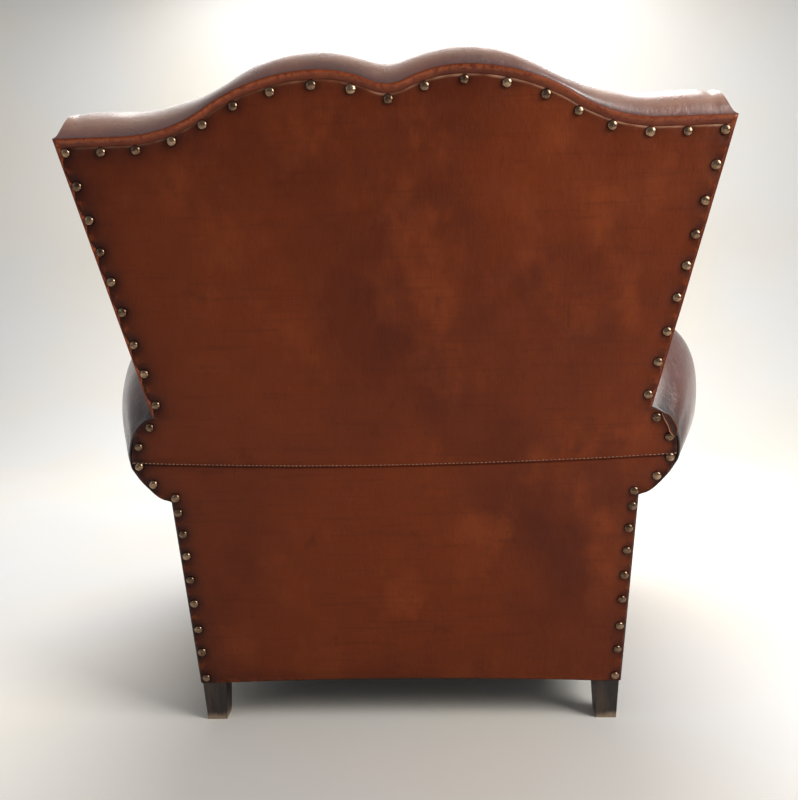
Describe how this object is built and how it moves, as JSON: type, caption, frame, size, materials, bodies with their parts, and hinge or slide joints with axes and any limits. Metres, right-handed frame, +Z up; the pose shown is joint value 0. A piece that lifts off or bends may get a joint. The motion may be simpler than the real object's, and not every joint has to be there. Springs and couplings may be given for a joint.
{
  "type": "club chair",
  "caption": "Leather armchair with a moustache-shaped leaning back, rolled arms, nailed edges, block feet and a loose crowned seat cushion.",
  "frame": {"origin": "on the floor, under the middle of the chair's bounding box", "axes": "the sitter faces -Y, +Z is up, the sitter's left is +X"},
  "size_m": [0.8682, 0.8801, 0.897],
  "materials": {
    "stained_wood": "dark stained beech, satin, worn at the foot",
    "beech": "bare planed beech",
    "stuffing": "horsehair and fibre stuffing under calico",
    "hessian": "plain woven jute hessian",
    "webbing": "twilled jute webbing",
    "black_cloth": "thin black bottoming cloth",
    "spring_wire": "bright drawn steel wire, dulled",
    "aged_brass": "antique brass, darkened in the hollows",
    "cushion_leather": "aged cognac leather, soft sheen",
    "back_leather": "aged cognac leather, mottled, soft sheen",
    "leather": "aged cognac leather, darker on the arms"
  },
  "bodies": {
    "chair": {"arm_board_left": "beech", "arm_board_right": "beech", "arm_cover_left": "leather", "arm_cover_right": "leather", "arm_facing_left": "leather", "arm_facing_right": "leather", "arm_outside_left": "leather", "arm_outside_right": "leather", "arm_pad_left": "stuffing", "arm_pad_right": "stuffing", "arm_rail_left": "beech", "arm_rail_right": "beech", "arm_tack_rail_left": "beech", "arm_tack_rail_right": "beech", "back_cover": "leather", "back_hessian": "hessian", "back_lining": "hessian", "back_lower_rail": "beech", "back_nails": "aged_brass", "back_outside_lower": "back_leather", "back_outside_upper": "back_leather", "back_pad": "stuffing", "back_webbing": "webbing", "corner_blocks": "beech", "crest_rail": "beech", "dust_cover": "black_cloth", "ear_block_left": "beech", "ear_block_right": "beech", "facing_nails_left": "aged_brass", "facing_nails_right": "aged_brass", "front_foot_left": "stained_wood", "front_foot_right": "stained_wood", "front_post_left": "beech", "front_post_right": "beech", "rear_post_left": "stained_wood", "rear_post_right": "stained_wood", "seat_border": "leather", "seat_deck": "leather", "seat_hessian": "hessian", "seat_rail_front": "beech", "seat_rail_rear": "beech", "seat_rail_side_left": "beech", "seat_rail_side_right": "beech", "seat_springs": "spring_wire", "seat_stuffing": "stuffing", "seat_webbing": "webbing"},
    "cushion": {"cushion_welts": "cushion_leather", "seat_cushion": "cushion_leather"}
  },
  "joints": [
    {"name": "seat_cushion_lift", "type": "slide", "parent": "chair", "child": "cushion", "axis": [0, 0, 1], "range_m": [0, 0.35]}
  ]
}
